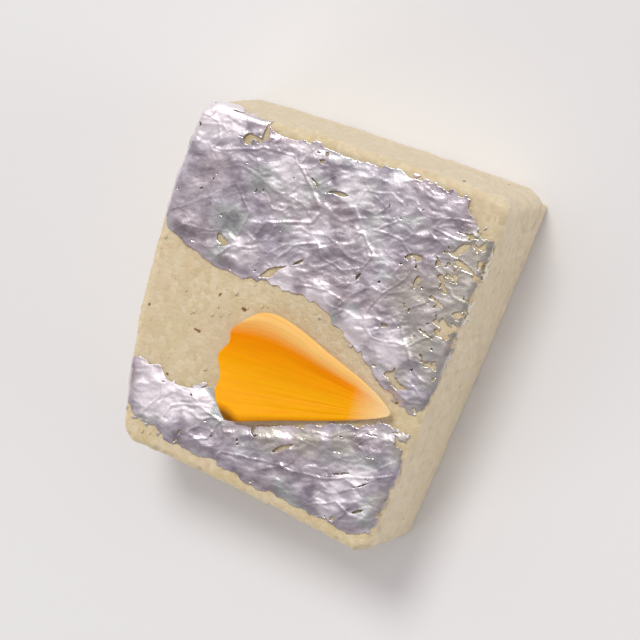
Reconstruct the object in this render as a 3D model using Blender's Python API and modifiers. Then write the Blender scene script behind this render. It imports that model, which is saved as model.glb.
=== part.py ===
"""One piece of almond barfi: a hand-cut block of set almond paste, torn silver leaf pressed on its top,
and one marigold petal lying over the gap in the leaf.

Run it with blender --background --python part.py, or from Blender's text editor. Units are metres and
+Z is up. The block stands on z = 0, and its bounding box is centred over the origin.
"""

import math

import bmesh
import bpy
from mathutils import Vector, noise

MM = 0.001

# The block's corners, seen from above, as the knife left them.
FRONT_LEFT = Vector((-20.3, -14.3)) * MM
FRONT_RIGHT = Vector((20.4, -17.6)) * MM
BACK_RIGHT = Vector((19.0, 16.9)) * MM
BACK_LEFT = Vector((-18.2, 15.0)) * MM
THICKNESS = 13.4 * MM

# The plain box that is bent to those corners, and how its edges are worn.
HALF_LENGTH = 19.5 * MM
HALF_WIDTH = 16.0 * MM
CORNER_RADIUS = 1.7 * MM
TOP_EDGE_RADIUS = 0.9 * MM
BOTTOM_EDGE_RADIUS = 0.5 * MM
CELL = 1.5 * MM
LEVEL_CELL = 1.6 * MM
# A cut this share of an edge's radius in from a face lands a quarter of the way round the edge's arc.
ARC_CUT_SHARE = 2 - math.sqrt(2)

# How far each cut side bows out at its middle, and how far it leans out at the foot.
BOW = {"front": 0.2 * MM, "right": 0.3 * MM, "back": 1.7 * MM, "left": -0.3 * MM}
LEAN = {"front": 0.5 * MM, "right": -0.4 * MM, "back": 0.3 * MM, "left": 0.5 * MM}

# The top, pressed smooth by hand: a shallow dish, a slope and slow ripples.
DISH_DEPTH = 0.35 * MM
SLOPE = 0.010
RIPPLE_HEIGHT = 0.13 * MM
RIPPLE_LENGTH = 15.0 * MM

# Crumbled spots on the edges: centre, radius of the scoop.
CHIPS = (
    ((21.6, -18.2, 0.4), 2.9),
    ((-21.4, -14.8, 14.0), 2.6),
    ((-7.0, -17.9, -1.6), 3.1),
    ((20.6, 5.5, 14.4), 2.0),
    ((21.4, -6.0, -1.2), 2.6),
    ((-20.6, 3.5, -1.3), 2.9),
    ((1.0, 19.0, 14.4), 2.0),
    ((-19.2, 15.9, 1.0), 2.6),
    ((11.5, 19.6, -1.4), 2.6),
)

# The grain of the paste, rougher on the cut sides than on the pressed top.
SIDE_GRAIN = 0.20 * MM
TOP_GRAIN = 0.05 * MM
GRAIN_SIZE = 2.6 * MM
FINE_GRAIN_SIZE = 1.1 * MM
FINE_GRAIN_SHARE = 0.5
LEVEL_FOOT = 1.2 * MM

# Silver leaf: two torn pieces, each an outline on the top of the block.
LEAF_THICKNESS = 0.3 * MM
CLEAR_GAP = 0.3 * MM
LEAF_CELL = 1.1 * MM
SNAP_SHARE = 0.35
MERGE_SHARE = 0.15
FOLDED_SHARE = 0.02
WRINKLE_HEIGHT = 0.3 * MM
WRINKLE_LENGTH = 3.2 * MM
CROSS_WRINKLE_LENGTH = 4.6 * MM
CROSS_WRINKLE_SHARE = 0.7
WRINKLE_SHARPNESS = 3.0
TEAR_DEPTH = 0.45 * MM
TEAR_LENGTH = 2.3 * MM
OUTLINE_STEPS = 8
MAIN_LEAF_OUTLINE = (
    (18.0, 15.6), (18.4, 5.0), (18.8, -5.0), (19.0, -13.0), (16.6, -15.8), (12.6, -15.4),
    (10.2, -12.6), (5.6, -12.2), (3.0, -14.4), (-3.4, -13.8), (-2.0, -9.4), (0.3, -5.4),
    (1.7, -1.2), (2.7, 3.0), (2.3, 7.4), (1.9, 11.0), (3.2, 15.2), (6.6, 17.2), (12.0, 16.9),
)
CORNER_LEAF_OUTLINE = (
    (-8.8, 15.2), (-9.6, 13.6), (-11.0, 12.2), (-11.0, 9.4), (-11.8, 6.6), (-13.2, 3.2),
    (-12.1, -1.0), (-9.8, -7.1), (-7.2, -12.8), (-11.0, -13.6), (-16.0, -13.4), (-18.4, -12.0),
    (-18.8, -8.0), (-18.6, -3.0), (-17.8, 3.0), (-17.2, 9.0), (-16.4, 13.6), (-12.8, 15.0),
)

# Marigold petal: a narrow foot, a broad end, the right edge rolled up, the left end corner lifted.
PETAL_FOOT = Vector((-4.7, -12.1)) * MM
PETAL_TURN = math.radians(93.5)
PETAL_LENGTH = 19.2 * MM
PETAL_THICKNESS = 0.4 * MM
# Its half width to the right and to the left of the middle, in mm, at shares of its length.
PETAL_HALF_WIDTHS = (
    (0.0, 0.6, 0.55), (0.12, 1.75, 1.5), (0.24, 2.7, 2.4), (0.36, 3.6, 3.15), (0.5, 4.7, 3.9),
    (0.62, 5.55, 4.6), (0.82, 6.1, 5.55), (1.0, 5.2, 5.9),
)
PETAL_ROWS = 20
PETAL_COLUMNS = 14
PETAL_END_BULGE = 2.4 * MM
PETAL_LOBE_DEPTH = 0.28 * MM
PETAL_CREASE = 0.2
PETAL_RIDGE = 0.84
PETAL_ROLL = 1.1 * MM
PETAL_ROLL_BACK_SHARE = 0.35
PETAL_LIFT = 2.0 * MM
PETAL_FOOT_RISE = 0.9 * MM
PETAL_FOOT_SHARE = 0.35
PETAL_TIP_BULGE = 0.5 * MM
PETAL_TIP_SHARE = 0.1


def clear_scene():
    for old in list(bpy.data.objects):
        bpy.data.objects.remove(old)


def material(name, colour, roughness, metallic=0.0):
    made = bpy.data.materials.new(name)
    made.use_nodes = True
    shader = made.node_tree.nodes["Principled BSDF"]
    shader.inputs["Base Color"].default_value = (*colour, 1.0)
    shader.inputs["Roughness"].default_value = roughness
    shader.inputs["Metallic"].default_value = metallic
    made.diffuse_color = (*colour, 1.0)
    return made


def add_object(name, mesh_data, finish, collection):
    shape = bpy.data.meshes.new(name)
    mesh_data.to_mesh(shape)
    mesh_data.free()
    shape.materials.append(finish)
    shape.shade_smooth()
    made = bpy.data.objects.new(name, shape)
    collection.objects.link(made)
    return made


def clamp(value, low, high):
    return max(low, min(high, value))


def smooth_step(value):
    share = clamp(value, 0.0, 1.0)
    return share * share * (3.0 - 2.0 * share)


def loop_cut_places(half):
    """Cuts across a side of the box: close together where the edge is rounded, even between."""
    outer = [half - ARC_CUT_SHARE * TOP_EDGE_RADIUS, half - TOP_EDGE_RADIUS, half - CORNER_RADIUS]
    inner_half = half - CORNER_RADIUS
    count = round(2 * inner_half / CELL)
    inner = [-inner_half + 2 * inner_half * step / count for step in range(1, count)]
    return [-place for place in outer] + inner + outer


def loop_cut_levels():
    """Cuts round the box at even heights, with closer ones on the top and bottom edges."""
    upper = [THICKNESS - ARC_CUT_SHARE * TOP_EDGE_RADIUS, THICKNESS - TOP_EDGE_RADIUS]
    lower = [ARC_CUT_SHARE * BOTTOM_EDGE_RADIUS, BOTTOM_EDGE_RADIUS]
    span = THICKNESS - TOP_EDGE_RADIUS - BOTTOM_EDGE_RADIUS
    count = round(span / LEVEL_CELL)
    return lower + [BOTTOM_EDGE_RADIUS + span * step / count for step in range(1, count)] + upper


def rounded_box_point(point):
    """Moves a point of the plain box onto the box with rounded upright corners and rounded edges.

    In plan, a point beyond the corner circle's centre keeps its direction from that centre and lies
    on the circle. In section, a point within one edge radius of an edge lies on the edge's arc.
    Returns the point and the direction that faces out of the block there.
    """
    centre = Vector((
        clamp(point.x, CORNER_RADIUS - HALF_LENGTH, HALF_LENGTH - CORNER_RADIUS),
        clamp(point.y, CORNER_RADIUS - HALF_WIDTH, HALF_WIDTH - CORNER_RADIUS),
    ))
    beyond = point.xy - centre
    reach = max(abs(beyond.x), abs(beyond.y))
    outward = beyond.normalized() if reach > 0 else Vector((0.0, 0.0))
    inset = CORNER_RADIUS - reach
    upper = point.z > THICKNESS / 2
    radius = TOP_EDGE_RADIUS if upper else BOTTOM_EDGE_RADIUS
    depth = THICKNESS - point.z if upper else point.z
    out_share = max(0.0, radius - inset)
    up_share = max(0.0, radius - depth)
    up = 1.0 if upper else -1.0
    if out_share == 0.0 and up_share == 0.0:
        plan = centre + outward * reach
        return Vector((*plan, point.z)), Vector((*outward, 0.0))
    level = (THICKNESS - radius if upper else radius) if up_share > 0 else point.z
    inner_reach = min(reach, CORNER_RADIUS - radius) if out_share > 0 else reach
    facing = Vector((*(outward * out_share), up * up_share)).normalized()
    base = Vector((*(centre + outward * inner_reach), level))
    return base + facing * radius, facing


def bent_to_corners(point):
    """Blends the four corners over the plain box, then bows and leans each side."""
    a = point.x / HALF_LENGTH
    b = point.y / HALF_WIDTH
    plan = (
        FRONT_LEFT * (1 - a) * (1 - b)
        + FRONT_RIGHT * (1 + a) * (1 - b)
        + BACK_RIGHT * (1 + a) * (1 + b)
        + BACK_LEFT * (1 - a) * (1 + b)
    ) / 4
    foot = 1.0 - point.z / THICKNESS
    across = 1 - a * a
    along = 1 - b * b
    front = (1 - b) / 2
    back = (1 + b) / 2
    right = (1 + a) / 2
    left = (1 - a) / 2
    plan.y -= front * front * (BOW["front"] * across + LEAN["front"] * foot)
    plan.y += back * back * (BOW["back"] * across + LEAN["back"] * foot)
    plan.x += right * right * (BOW["right"] * along + LEAN["right"] * foot)
    plan.x -= left * left * (BOW["left"] * along + LEAN["left"] * foot)
    return Vector((plan.x, plan.y, point.z))


def top_relief(x, y):
    """How far the pressed top lies above the block's thickness: a dish, a slope and ripples."""
    dish = (x / HALF_LENGTH) ** 2 + (y / HALF_WIDTH) ** 2
    turn = 2 * math.pi / RIPPLE_LENGTH
    ripples = math.sin(turn * (x + 0.4 * y) + 0.6) + math.sin(turn * (0.8 * y - 0.5 * x) + 2.1)
    return DISH_DEPTH * (dish - 1.0) / 2 + SLOPE * x + RIPPLE_HEIGHT * ripples / 2


def grain(point):
    """The paste's grain, about -1 to 1: coarse lumps with finer ones on them."""
    return noise.noise(point / GRAIN_SIZE) + FINE_GRAIN_SHARE * noise.noise(point / FINE_GRAIN_SIZE)


def block_top(x, y):
    """Height of the finished top at a place on it, inside the rounded edge."""
    level = THICKNESS + top_relief(x, y)
    return level + TOP_GRAIN * grain(Vector((x, y, level)))


def scooped(point):
    """Pushes a point that lies in a crumbled spot back to that scoop's round floor."""
    for centre_mm, radius_mm in CHIPS:
        centre = Vector(centre_mm) * MM
        away = point - centre
        if away.length < radius_mm * MM:
            point = centre + away.normalized() * radius_mm * MM
    return point


def block_surface(point):
    """A point of the plain box, carried to the surface of the finished block."""
    place, facing = rounded_box_point(point)
    place = bent_to_corners(place)
    risen = smooth_step(place.z / LEVEL_FOOT)
    upward = max(0.0, facing.z)
    rough = SIDE_GRAIN * (1 - upward) ** 2 + TOP_GRAIN * upward
    place.z += top_relief(place.x, place.y) * place.z / THICKNESS
    place += facing * rough * risen * grain(place)
    place = scooped(place)
    place.z = max(0.0, place.z)
    return place


def build_block(collection, finish):
    """The almond block: a cube with loop cuts, its points carried to the worn, hand-cut shape."""
    shape = bmesh.new()
    bmesh.ops.create_cube(shape, size=2.0)
    for vert in shape.verts:
        level = THICKNESS if vert.co.z > 0 else 0.0
        vert.co = Vector((vert.co.x * HALF_LENGTH, vert.co.y * HALF_WIDTH, level))
    cuts = (
        (Vector((1, 0, 0)), loop_cut_places(HALF_LENGTH)),
        (Vector((0, 1, 0)), loop_cut_places(HALF_WIDTH)),
        (Vector((0, 0, 1)), loop_cut_levels()),
    )
    for direction, places in cuts:
        for place in places:
            everything = shape.verts[:] + shape.edges[:] + shape.faces[:]
            bmesh.ops.bisect_plane(shape, geom=everything, plane_co=direction * place, plane_no=direction)
    for vert in shape.verts:
        vert.co = block_surface(vert.co)
    return add_object("almond_block", shape, finish, collection)


def torn_outline(points_mm):
    """A closed smooth curve through the outline's points, with small tears along it."""
    points = [Vector(point) * MM for point in points_mm]
    outline = []
    for index, start in enumerate(points):
        before = points[index - 1]
        end = points[(index + 1) % len(points)]
        after = points[(index + 2) % len(points)]
        for step in range(OUTLINE_STEPS):
            t = step / OUTLINE_STEPS
            place = 0.5 * (
                2 * start
                + (end - before) * t
                + (2 * before - 5 * start + 4 * end - after) * t * t
                + (3 * start - before - 3 * end + after) * t * t * t
            )
            outline.append(place)
    torn = []
    for index, place in enumerate(outline):
        along = outline[(index + 1) % len(outline)] - outline[index - 1]
        inward = Vector((-along.y, along.x)).normalized()
        tear = noise.noise(Vector((place.x, place.y, 0.0)) / TEAR_LENGTH)
        torn.append(place + inward * TEAR_DEPTH * tear)
    return torn


def nearest_on_outline(place, outline):
    """The outline's point nearest to a place, and its distance: above 0 inside, below 0 outside."""
    best = None
    best_distance = math.inf
    inside = False
    for index, end in enumerate(outline):
        start = outline[index - 1]
        side = end - start
        share = clamp((place - start).dot(side) / side.length_squared, 0.0, 1.0)
        near = start + side * share
        distance = (place - near).length
        if distance < best_distance:
            best = near
            best_distance = distance
        if (start.y > place.y) != (end.y > place.y):
            crossing = start.x + (place.y - start.y) * side.x / side.y
            if place.x < crossing:
                inside = not inside
    return best, best_distance if inside else -best_distance


def wrinkle(x, y):
    """Creases of the leaf: two sets of sharp folds, each standing up where a noise crosses zero."""
    first = noise.noise(Vector((x, y, WRINKLE_LENGTH)) / WRINKLE_LENGTH)
    second = noise.noise(Vector((y, -x, 0.0)) / CROSS_WRINKLE_LENGTH)
    fold = max(0.0, 1 - WRINKLE_SHARPNESS * abs(first))
    cross_fold = max(0.0, 1 - WRINKLE_SHARPNESS * abs(second))
    return WRINKLE_HEIGHT * (fold + CROSS_WRINKLE_SHARE * cross_fold) / (1 + CROSS_WRINKLE_SHARE)


def grid_over(outline, cell):
    """A flat grid of square cells that covers the outline with a cell to spare."""
    low = Vector((min(p.x for p in outline), min(p.y for p in outline)))
    high = Vector((max(p.x for p in outline), max(p.y for p in outline)))
    middle = (low + high) / 2
    columns = math.ceil((high.x - low.x) / cell) + 2
    rows = math.ceil((high.y - low.y) / cell) + 2
    shape = bmesh.new()
    bmesh.ops.create_grid(shape, x_segments=columns, y_segments=rows, size=0.5)
    for vert in shape.verts:
        plan = Vector((vert.co.x * columns, vert.co.y * rows)) * cell + middle
        vert.co = Vector((*plan, 0.0))
    return shape


def trim_to_outline(shape, outline, cell):
    """Drops the grid's faces beyond the outline, and moves its border onto it, so that the tear has
    no steps. Where the outline turns sharply, border points meet: they are merged, and a face that
    was folded over goes."""
    inner = set()
    for vert in shape.verts:
        near, distance = nearest_on_outline(vert.co.xy, outline)
        if distance > SNAP_SHARE * cell:
            inner.add(vert)
        else:
            vert.co = Vector((*near, 0.0))
    beyond = [face for face in shape.faces if inner.isdisjoint(face.verts)]
    bmesh.ops.delete(shape, geom=beyond, context="FACES")
    bmesh.ops.remove_doubles(shape, verts=shape.verts[:], dist=MERGE_SHARE * cell)
    bmesh.ops.triangulate(shape, faces=shape.faces[:], quad_method="FIXED")
    folded = []
    for face in shape.faces:
        a, b, c = (vert.co for vert in face.verts)
        if (b - a).cross(c - a).z < FOLDED_SHARE * cell * cell:
            folded.append(face)
    bmesh.ops.delete(shape, geom=folded, context="FACES")


def build_leaf(name, points_mm, collection, finish):
    """A torn piece of silver leaf: a grid trimmed to the torn outline, laid over the block."""
    outline = torn_outline(points_mm)
    shape = grid_over(outline, LEAF_CELL)
    trim_to_outline(shape, outline, LEAF_CELL)
    for vert in shape.verts:
        x, y = vert.co.xy
        vert.co.z = block_top(x, y) + CLEAR_GAP + wrinkle(x, y)
    leaf = add_object(name, shape, finish, collection)
    add_sheet_thickness(leaf, LEAF_THICKNESS)
    return leaf


def add_sheet_thickness(sheet, thickness):
    """Splits the sheet into triangles first, so that both of its faces are split alike."""
    split = sheet.modifiers.new("Split", "TRIANGULATE")
    split.quad_method = "FIXED"
    wall = sheet.modifiers.new("Thickness", "SOLIDIFY")
    wall.thickness = thickness
    wall.offset = 1.0


def petal_half_width(share, left):
    """The petal's width to one side of its middle at a share of its length, straight between the
    stations."""
    column = 2 if left else 1
    for low, high in zip(PETAL_HALF_WIDTHS, PETAL_HALF_WIDTHS[1:]):
        if share <= high[0]:
            way = (share - low[0]) / (high[0] - low[0])
            return (low[column] + (high[column] - low[column]) * way) * MM
    return PETAL_HALF_WIDTHS[-1][column] * MM


def petal_point(share, side):
    """The petal's middle surface: share runs from its foot to its end, side from -1 at the right
    edge to 1 at the left.

    The end bulges and is faintly lobed, and the foot's tip is round. Right of the crease the petal
    rises to a ridge and rolls over it, the left end corner lifts off the block, and the narrow foot
    tips up.
    """
    end_zone = share ** 4
    lobes = PETAL_LOBE_DEPTH * math.cos(3 * math.pi * side) * end_zone
    tip = PETAL_TIP_BULGE * (1 - side * side) * max(0.0, 1 - share / PETAL_TIP_SHARE)
    along = PETAL_LENGTH * share - PETAL_END_BULGE * side * side * end_zone + lobes - tip
    across = petal_half_width(share, left=side > 0) * side
    climb = smooth_step((-side - PETAL_CREASE) / (PETAL_RIDGE - PETAL_CREASE))
    rolled_over = max(0.0, -side - PETAL_RIDGE) / (1 - PETAL_RIDGE)
    roll = PETAL_ROLL * (climb - PETAL_ROLL_BACK_SHARE * rolled_over ** 2) * smooth_step(2 * share)
    lift = PETAL_LIFT * max(0.0, side) ** 1.6 * share ** 2
    foot = PETAL_FOOT_RISE * max(0.0, 1 - share / PETAL_FOOT_SHARE) ** 2
    return Vector((along, across, roll + lift + foot))


def build_petal(collection, finish):
    shape = bmesh.new()
    bmesh.ops.create_grid(shape, x_segments=PETAL_ROWS, y_segments=PETAL_COLUMNS, size=0.5)
    turn = (math.cos(PETAL_TURN), math.sin(PETAL_TURN))
    for vert in shape.verts:
        place = petal_point(vert.co.x + 0.5, vert.co.y * 2)
        x = PETAL_FOOT.x + place.x * turn[0] - place.y * turn[1]
        y = PETAL_FOOT.y + place.x * turn[1] + place.y * turn[0]
        vert.co = Vector((x, y, block_top(x, y) + CLEAR_GAP + place.z))
    petal = add_object("marigold_petal", shape, finish, collection)
    add_sheet_thickness(petal, PETAL_THICKNESS)
    return petal


def main():
    clear_scene()
    collection = bpy.data.collections.new("almond_barfi")
    bpy.context.scene.collection.children.link(collection)
    paste = material("almond_paste", (0.80, 0.68, 0.45), 0.55)
    silver = material("silver_leaf", (0.78, 0.77, 0.80), 0.28, metallic=1.0)
    petal_orange = material("petal_orange", (0.95, 0.40, 0.01), 0.5)
    build_block(collection, paste)
    build_leaf("silver_leaf_main", MAIN_LEAF_OUTLINE, collection, silver)
    build_leaf("silver_leaf_corner", CORNER_LEAF_OUTLINE, collection, silver)
    build_petal(collection, petal_orange)


main()
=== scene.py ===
# %% [markdown]
# # One piece of almond barfi
#
# Barfi is a sweet that is cooked, spread in a tray and cut with a knife once it has set. This piece is
# a block of ground almonds and sugar. Beaten silver leaf was laid over its top, and it tore and wrinkled
# as it met the sticky paste. One marigold petal lies across the bare band between the torn pieces.
#
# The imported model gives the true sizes. Everything here is built in that same frame, in metres, so
# each new piece goes where its plain solid is and takes its place.

# %% Load the frame
import math
from itertools import product

import bpy
import numpy as np
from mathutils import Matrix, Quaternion, Vector


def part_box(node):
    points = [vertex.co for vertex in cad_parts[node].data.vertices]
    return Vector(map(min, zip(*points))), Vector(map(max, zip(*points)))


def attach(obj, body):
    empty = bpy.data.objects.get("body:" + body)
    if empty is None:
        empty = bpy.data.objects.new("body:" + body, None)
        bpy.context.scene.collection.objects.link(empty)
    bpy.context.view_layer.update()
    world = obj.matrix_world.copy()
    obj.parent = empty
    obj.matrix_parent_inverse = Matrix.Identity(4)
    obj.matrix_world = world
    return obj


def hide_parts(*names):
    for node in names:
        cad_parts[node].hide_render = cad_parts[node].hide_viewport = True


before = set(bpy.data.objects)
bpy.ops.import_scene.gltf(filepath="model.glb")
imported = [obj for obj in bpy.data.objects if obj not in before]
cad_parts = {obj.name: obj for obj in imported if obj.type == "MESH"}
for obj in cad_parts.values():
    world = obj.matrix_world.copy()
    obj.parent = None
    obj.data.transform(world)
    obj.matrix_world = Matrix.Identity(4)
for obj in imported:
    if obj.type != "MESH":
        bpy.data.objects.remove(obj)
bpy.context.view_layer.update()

MM = 0.001
print("nodes:", sorted(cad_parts))

# %% [markdown]
# ## Random shapes that are the same on every run
#
# Set paste, torn foil and petals are uneven, so every surface needs randomness at several sizes. It
# could come from Blender's Displace modifier with a texture, but a texture's strength is hard to read
# as a size. Here it is gradient noise worked out with numpy: one call fills a whole array, its bumps
# have a width in millimetres, and a seed makes each use different but repeatable.

# %% Gradient noise for whole arrays
DIRECTION_COUNT = 512
DIRECTIONS = np.random.default_rng(20).normal(size=(DIRECTION_COUNT, 3))
DIRECTIONS /= np.linalg.norm(DIRECTIONS, axis=1, keepdims=True)


def corner_direction(cell, seed):
    """The random direction at a corner of the unit lattice: the three whole numbers are each
    multiplied by a large odd number and added, and the stirred bits pick a direction."""
    stirred = cell[..., 0] * 374761393 + cell[..., 1] * 668265263 + cell[..., 2] * 1442695041
    stirred = (stirred + seed * 974634777) * 1274126177
    return DIRECTIONS[(stirred ^ (stirred >> 15)) % DIRECTION_COUNT]


def noise(place, size, seed=0):
    """Smooth bumps of about `size` across, from about -1 to 1.

    Each corner of the lattice cell round a point has a random direction. The way from the corner to
    the point is multiplied with it, and the eight products fade into each other."""
    place = np.asarray(place) / size
    cell = np.floor(place).astype(np.int64)
    inside = place - cell
    fade = inside ** 3 * (inside * (inside * 6 - 15) + 10)
    total = np.zeros(place.shape[:-1])
    for corner in product((0, 1), repeat=3):
        weight = np.prod(np.where(corner, fade, 1 - fade), axis=-1)
        total += weight * np.sum((inside - corner) * corner_direction(cell + corner, seed), axis=-1)
    return total * 1.7


def flat_noise(plan, size, seed=0):
    """The same noise for places on the plan, read half-way up a cell of the lattice."""
    level = np.full(plan.shape[:-1] + (1,), size / 2)
    return noise(np.concatenate([plan, level], axis=-1), size, seed)


def facets(plan, size, seed=0):
    """Flat three-cornered facets about `size` across, from -1 to 1, as in crumpled foil.

    The plane is covered with triangles. Each corner has a random height, and a triangle is flat
    between its corners: the three heights are added by how near the place is to each."""
    skewed = plan / size + ((plan.sum(axis=-1) / size) * 0.366025)[..., None]
    cell = np.floor(skewed).astype(np.int64)
    u, v = np.moveaxis(skewed - cell, -1, 0)
    first = np.where((u > v)[..., None], (1, 0), (0, 1))
    weights = (1 - np.maximum(u, v), np.abs(u - v), np.minimum(u, v))
    total = np.zeros(u.shape)
    for weight, step in zip(weights, (0, first, 1)):
        corner = cell + step
        corner = np.concatenate([corner, np.zeros(u.shape + (1,), np.int64)], axis=-1)
        total += weight * corner_direction(corner, seed)[..., 0]
    return total


def eased(value):
    """0 below 0, 1 above 1, and an S-shaped curve between them: 3 v squared less 2 v cubed."""
    share = np.clip(value, 0, 1)
    return share * share * (3 - 2 * share)


sample = flat_noise(np.random.default_rng(1).random((2000, 2)), 0.05)
print("noise runs from %.2f to %.2f" % (sample.min(), sample.max()))

# %% [markdown]
# ## The block's form
#
# The real block was cut by eye: its corners aren't square, its back side bows out, its sides lean a
# little, and its edges are worn round. That could be modelled with bevels and loose vertex moves. Here
# it is a chain of functions from a plain box to the finished surface, so that the leaf can be laid on
# the very same surface later. The named sizes are those of the solid in the frame.

# %% Sizes of the cut block
FRONT_LEFT = np.array((-20.3, -14.3)) * MM
FRONT_RIGHT = np.array((20.4, -17.6)) * MM
BACK_RIGHT = np.array((19.0, 16.9)) * MM
BACK_LEFT = np.array((-18.2, 15.0)) * MM
THICKNESS = 13.4 * MM
HALF_LENGTH = 19.5 * MM
HALF_WIDTH = 16.0 * MM
HALF_SIDES = np.array((HALF_LENGTH, HALF_WIDTH))
CORNER_RADIUS = 1.7 * MM
TOP_EDGE_RADIUS = 0.9 * MM
BOTTOM_EDGE_RADIUS = 0.5 * MM
BOW = {"front": 0.2 * MM, "right": 0.3 * MM, "back": 1.7 * MM, "left": -0.3 * MM}
LEAN = {"front": 0.5 * MM, "right": -0.4 * MM, "back": 0.3 * MM, "left": 0.5 * MM}


def rounded_box(points):
    """Carries points of the plain box onto the box with round upright corners and round edges.

    In plan, a point beyond the corner circle's centre keeps its direction from that centre and lies
    on the circle. In section, a point within one edge radius of an edge lies on the edge's arc.
    Returns the points and the directions that face out of the block there."""
    room = HALF_SIDES - CORNER_RADIUS
    centre = np.clip(points[:, :2], -room, room)
    beyond = points[:, :2] - centre
    reach = np.abs(beyond).max(axis=1, keepdims=True)
    outward = beyond / np.maximum(np.linalg.norm(beyond, axis=1, keepdims=True), 1e-12)
    height = points[:, 2:]
    upper = height > THICKNESS / 2
    radius = np.where(upper, TOP_EDGE_RADIUS, BOTTOM_EDGE_RADIUS)
    depth = np.where(upper, THICKNESS - height, height)
    out_share = np.maximum(radius - (CORNER_RADIUS - reach), 0)
    up_share = np.maximum(radius - depth, 0)
    facing = np.hstack([outward * out_share, np.where(upper, up_share, -up_share)])
    length = np.linalg.norm(facing, axis=1, keepdims=True)
    on_arc = length > 0
    facing = np.where(on_arc, facing / np.maximum(length, 1e-12), np.hstack([outward, 0 * reach]))
    inner_reach = np.where(out_share > 0, np.minimum(reach, CORNER_RADIUS - radius), reach)
    arc_level = np.where(upper, THICKNESS - radius, radius)
    base = np.hstack([centre + outward * inner_reach, np.where(up_share > 0, arc_level, height)])
    return base + np.where(on_arc, radius, 0) * facing, facing


def bent_plan(plan, height):
    """Blends the four corners over the plain box, then bows each side and leans it out at the foot."""
    a = plan[:, :1] / HALF_LENGTH
    b = plan[:, 1:] / HALF_WIDTH
    bent = (FRONT_LEFT * (1 - a) * (1 - b) + FRONT_RIGHT * (1 + a) * (1 - b)
            + BACK_RIGHT * (1 + a) * (1 + b) + BACK_LEFT * (1 - a) * (1 + b)) / 4
    foot = 1 - height / THICKNESS
    across = 1 - a * a
    along = 1 - b * b
    right = ((1 + a) / 2) ** 2 * (BOW["right"] * along + LEAN["right"] * foot)
    left = ((1 - a) / 2) ** 2 * (BOW["left"] * along + LEAN["left"] * foot)
    back = ((1 + b) / 2) ** 2 * (BOW["back"] * across + LEAN["back"] * foot)
    front = ((1 - b) / 2) ** 2 * (BOW["front"] * across + LEAN["front"] * foot)
    return bent + np.hstack([right - left, back - front])


print("block: %.1f mm thick" % (THICKNESS / MM))

# %% [markdown]
# ## How the paste wears its history
#
# The top was pressed smooth by a greased palm, so it has a shallow dish and slow ripples with faint
# dimples. The sides were cut, so they show the coarse almond meal: lumps, pits and fine lines where
# the blade dragged down through it. Edges crumble. Each of these is a height added along the outward
# direction, and a crumbled spot is a ball scooped out of the edge.

# %% Relief of the pressed top and the cut sides
DISH_DEPTH = 0.35 * MM
SLOPE = 0.010
RIPPLE_HEIGHT = 0.13 * MM
RIPPLE_LENGTH = 15.0 * MM
TOP_DIMPLES = ((2.6 * MM, 0.05 * MM), (1.2 * MM, 0.025 * MM))
SIDE_LUMPS = ((2.6 * MM, 0.16 * MM), (1.2 * MM, 0.11 * MM), (0.6 * MM, 0.06 * MM))
PIT_SIZE = 1.0 * MM
PIT_DEPTH = 0.60 * MM
PIT_START = 0.42
DRAG_WIDTH = 0.8 * MM
DRAG_DEPTH = 0.06 * MM
DRAG_STRETCH = 0.1
LEVEL_FOOT = 1.2 * MM


def top_relief(plan):
    """How far the pressed top lies above the block's thickness: a dish, a slope and two ripples."""
    x, y = plan[:, 0], plan[:, 1]
    dish = (x / HALF_LENGTH) ** 2 + (y / HALF_WIDTH) ** 2
    turn = 2 * math.pi / RIPPLE_LENGTH
    ripples = np.sin(turn * (x + 0.4 * y) + 0.6) + np.sin(turn * (0.8 * y - 0.5 * x) + 2.1)
    return DISH_DEPTH * (dish - 1) / 2 + SLOPE * x + RIPPLE_HEIGHT * ripples / 2


def side_relief(place):
    """Lumps of three sizes, pits where a noise is lowest, and drag lines stretched down the side."""
    lumps = sum(depth * noise(place, size, seed=3) for size, depth in SIDE_LUMPS)
    pits = -PIT_DEPTH * np.maximum(noise(place, PIT_SIZE, seed=5) - PIT_START, 0)
    drag = DRAG_DEPTH * noise(place * (1, 1, DRAG_STRETCH), DRAG_WIDTH, seed=6)
    return lumps + pits + drag


# %% Crumbled spots
# Each is x, y and z of a ball's centre, and its radius.
CHIPS = np.array((
    (21.6, -18.2, 0.4, 2.9),
    (-21.4, -14.8, 14.0, 2.6),
    (-7.0, -17.9, -1.6, 3.1),
    (20.6, 5.5, 14.4, 2.0),
    (21.4, -6.0, -1.2, 2.6),
    (-20.6, 3.5, -1.3, 2.9),
    (1.0, 19.0, 14.4, 2.0),
    (-19.2, 15.9, 1.0, 2.6),
    (11.5, 19.6, -1.4, 2.6),
)) * MM
NICK_COUNT = 90
NICK_RADII = (0.5 * MM, 1.3 * MM)
NICK_DEPTHS = (0.08 * MM, 0.30 * MM)
UPPER_NICK_SHARE = 0.4
CRUMBLE_SIZE = 0.7 * MM
CRUMBLE_HEIGHT = 0.12 * MM


def edge_nicks():
    """Small crumbled spots at random places along the top and bottom edges: each is a ball whose
    centre lies outside the edge by its radius less the nick's depth."""
    draw = np.random.default_rng(31)
    turn = draw.random(NICK_COUNT) * 2 * math.pi
    radius = draw.uniform(*NICK_RADII, NICK_COUNT)
    depth = draw.uniform(*NICK_DEPTHS, NICK_COUNT)
    upper = draw.random(NICK_COUNT) < UPPER_NICK_SHARE
    way = np.stack([np.cos(turn), np.sin(turn)], axis=1)
    on_edge = way / np.abs(way / HALF_SIDES).max(axis=1, keepdims=True)
    points = np.column_stack([on_edge, np.where(upper, THICKNESS, 0)])
    place, facing = rounded_box(points)
    place[:, :2] = bent_plan(place[:, :2], place[:, 2:])
    return np.column_stack([place + facing * (radius - depth)[:, None], radius])


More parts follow.
